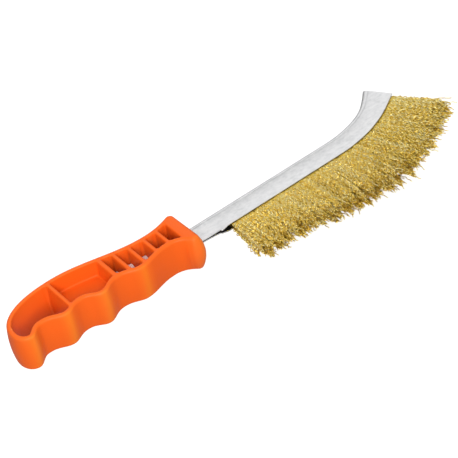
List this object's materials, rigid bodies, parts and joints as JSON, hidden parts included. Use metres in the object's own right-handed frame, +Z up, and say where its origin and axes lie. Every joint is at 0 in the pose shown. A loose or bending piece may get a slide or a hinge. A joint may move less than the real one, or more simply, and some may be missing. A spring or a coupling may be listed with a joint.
{
  "type": "wire brush",
  "caption": "Curved hand wire brush: crimped brass-coated wire held in a folded steel channel, with a finger-grooved plastic handle.",
  "frame": {"origin": "on the surface that the brush lies on, below the middle of its overall box", "axes": "+X from the handle's butt to the toe of the brush, +Y towards the spine of the channel and the palm side of the handle (the wires point to -Y), +Z up through the thickness, with the brush lying on its side"},
  "size_m": [0.2698, 0.0698, 0.022],
  "materials": {
    "handle_plastic": "satin moulded polypropylene with a fine grain",
    "channel_steel": "cold-rolled zinc-coated strip, satin",
    "core_steel": "drawn steel wire",
    "bristle_wire": "crimped steel wire with a thin brass coat"
  },
  "bodies": {
    "root": {"handle": "handle_plastic", "channel": "channel_steel", "core_wire": "core_steel", "bristle_bundle_01": "bristle_wire", "bristle_bundle_02": "bristle_wire", "bristle_bundle_03": "bristle_wire", "bristle_bundle_04": "bristle_wire", "bristle_bundle_05": "bristle_wire", "bristle_bundle_06": "bristle_wire", "bristle_bundle_07": "bristle_wire", "bristle_bundle_08": "bristle_wire", "bristle_bundle_09": "bristle_wire", "bristle_bundle_10": "bristle_wire", "bristle_bundle_11": "bristle_wire", "bristle_bundle_12": "bristle_wire", "bristle_bundle_13": "bristle_wire", "bristle_bundle_14": "bristle_wire", "bristle_bundle_15": "bristle_wire", "bristle_bundle_16": "bristle_wire", "bristle_bundle_17": "bristle_wire", "bristle_bundle_18": "bristle_wire", "bristle_bundle_19": "bristle_wire", "bristle_bundle_20": "bristle_wire", "bristle_bundle_21": "bristle_wire", "bristle_bundle_22": "bristle_wire", "bristle_bundle_23": "bristle_wire", "bristle_bundle_24": "bristle_wire", "bristle_bundle_25": "bristle_wire", "bristle_bundle_26": "bristle_wire", "bristle_bundle_27": "bristle_wire", "bristle_bundle_28": "bristle_wire", "bristle_bundle_29": "bristle_wire", "bristle_bundle_30": "bristle_wire", "bristle_bundle_31": "bristle_wire", "bristle_bundle_32": "bristle_wire", "bristle_bundle_33": "bristle_wire", "bristle_bundle_34": "bristle_wire", "bristle_bundle_35": "bristle_wire", "bristle_bundle_36": "bristle_wire", "bristle_bundle_37": "bristle_wire"}
  },
  "joints": []
}
